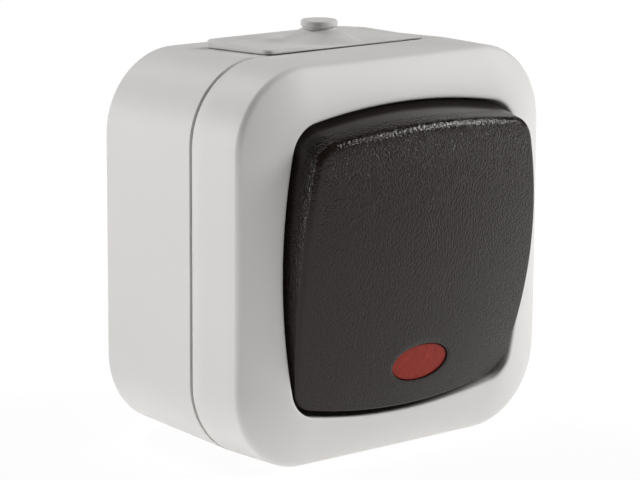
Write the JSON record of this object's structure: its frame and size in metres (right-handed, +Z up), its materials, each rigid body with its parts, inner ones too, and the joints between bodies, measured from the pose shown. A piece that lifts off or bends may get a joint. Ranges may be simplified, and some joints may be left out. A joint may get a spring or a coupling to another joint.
{
  "type": "surface-mounted weatherproof rocker switch",
  "caption": "Light-grey surface-mounted weatherproof switch with a crowned dark rocker, red indicator lens and a cable membrane on top.",
  "frame": {"origin": "centre of the back face that lies against the wall", "axes": "+X to the right seen from the front, +Z up, -Y out of the wall towards the user"},
  "size_m": [0.066, 0.0466, 0.0701],
  "materials": {
    "grey_plastic": "fine matte moulded",
    "membrane_rubber": "soft matte",
    "gasket_rubber": "matte",
    "anthracite_plastic": "leather-grained",
    "black_plastic": "smooth",
    "red_lens": "translucent, textured",
    "insulator_plastic": "smooth",
    "contact_brass": "stamped",
    "contact_silver": "bright",
    "screw_steel": "zinc plated",
    "spring_steel": "drawn wire",
    "lead_wire": "tinned",
    "lamp_glass": "clear"
  },
  "bodies": {
    "housing": {"rear_box": "grey_plastic", "front_cover": "grey_plastic", "cover_gasket": "gasket_rubber", "cable_membrane": "membrane_rubber", "cover_screws": "screw_steel", "mechanism_base": "insulator_plastic", "mechanism_screws": "screw_steel", "upper_contact_strip": "contact_brass", "lower_contact_strip": "contact_brass", "common_terminal": "contact_brass", "neutral_terminal": "contact_brass", "terminal_clamps": "screw_steel", "terminal_screws": "screw_steel", "fixed_contact_tips": "contact_silver", "lamp_holder": "insulator_plastic", "neon_lamp": "lamp_glass", "lamp_leads": "lead_wire"},
    "rocker": {"rocker": "anthracite_plastic", "indicator_lens": "red_lens", "rocker_carrier": "black_plastic", "plunger_spring": "spring_steel"},
    "plunger": {"contact_plunger": "black_plastic"},
    "contact": {"contact_rocker": "contact_brass", "moving_contact_tips": "contact_silver"}
  },
  "joints": [
    {"name": "rocker_tilt", "type": "hinge", "parent": "housing", "child": "rocker", "pos_m": [0, -0.03658, 0], "axis": [1, 0, 0], "range_deg": [-16, 0]},
    {"name": "contact_tilt", "type": "hinge", "parent": "housing", "child": "contact", "pos_m": [0, -0.02013, 0], "axis": [1, 0, 0], "range_deg": [0, 16]},
    {"name": "plunger_slide", "type": "slide", "parent": "rocker", "child": "plunger", "axis": [0, -0.9903, -0.1392], "range_m": [0, 0.0008], "stiffness_N_per_m": 150, "deforming": ["plunger_spring"]}
  ],
  "couplings": [
    {"joint": "contact_tilt", "follows": "rocker_tilt", "ratio": -1}
  ]
}
